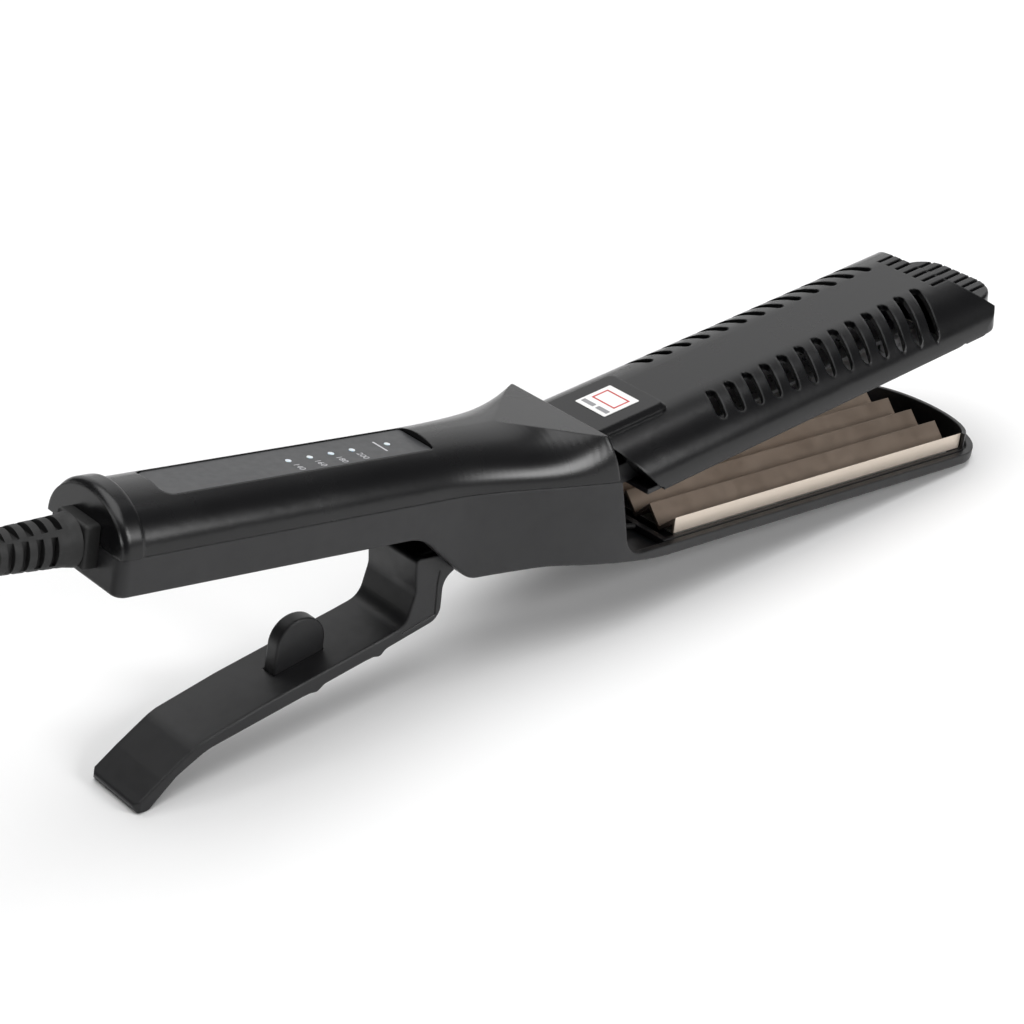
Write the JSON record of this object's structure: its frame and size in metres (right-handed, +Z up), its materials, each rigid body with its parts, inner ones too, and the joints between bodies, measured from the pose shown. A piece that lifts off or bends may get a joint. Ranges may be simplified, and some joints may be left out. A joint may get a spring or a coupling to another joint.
{
  "type": "hair crimper",
  "caption": "Lever-operated scissor crimping iron with two corrugated hot plates, a domed handle with a lamp panel, a vented upper jaw and a mains cord.",
  "frame": {"origin": "bottom centre of the box of the tool without its cord, where it stands on the tail of its lever and the tip of its lower jaw", "axes": "+X along the tool towards the jaws, +Y to the left seen from the cord end, +Z up"},
  "size_m": [0.4299, 0.0846, 0.0901],
  "materials": {
    "black_shell": "satin",
    "grey_shell": "matte",
    "panel_grey": "satin",
    "clear_plastic": "gloss",
    "board_green": "satin",
    "component_black": "matte",
    "cord_rubber": "matte",
    "boot_rubber": "matte",
    "steel": "satin",
    "plate_bronze": "satin",
    "ceramic_white": "matte",
    "nickel": "polished",
    "aluminium": "satin",
    "label_white": "satin"
  },
  "bodies": {
    "handle": {"upper_housing": "black_shell", "lower_housing": "grey_shell", "housing_screws": "steel", "control_panel": "panel_grey", "indicator_light_pipes": "clear_plastic", "circuit_board": "board_green", "board_components": "component_black", "cord_clamp": "grey_shell", "mains_leads": "cord_rubber", "heater_leads": "cord_rubber", "cord_boot": "boot_rubber", "cord_entry": "cord_rubber", "pivot_pin": "steel", "pivot_washers": "steel", "opening_spring": "steel", "lower_plate_carrier": "grey_shell", "lower_crimping_plate": "plate_bronze", "lower_heater_bars": "ceramic_white", "lower_mica_sheet": "ceramic_white", "mains_cord": "cord_rubber", "mains_cord_coil": "cord_rubber", "mains_cord_tail": "cord_rubber", "plug_body": "cord_rubber", "plug_pins": "nickel"},
    "arm": {"squeeze_lever": "grey_shell", "lever_fin": "grey_shell", "upper_jaw_base": "grey_shell", "upper_jaw_cover": "black_shell", "upper_crimping_plate": "plate_bronze", "heat_spreader": "aluminium", "upper_heater": "ceramic_white", "heater_clamp": "steel", "jaw_screws": "steel", "warning_label": "label_white"}
  },
  "joints": [
    {"name": "squeeze", "type": "hinge", "parent": "handle", "child": "arm", "pos_m": [-0.02396, 0, 0.04588], "axis": [0, 1, 0], "range_deg": [0, 9.4], "stiffness_Nm_per_rad": 1.2, "springref_deg": -24.06}
  ]
}
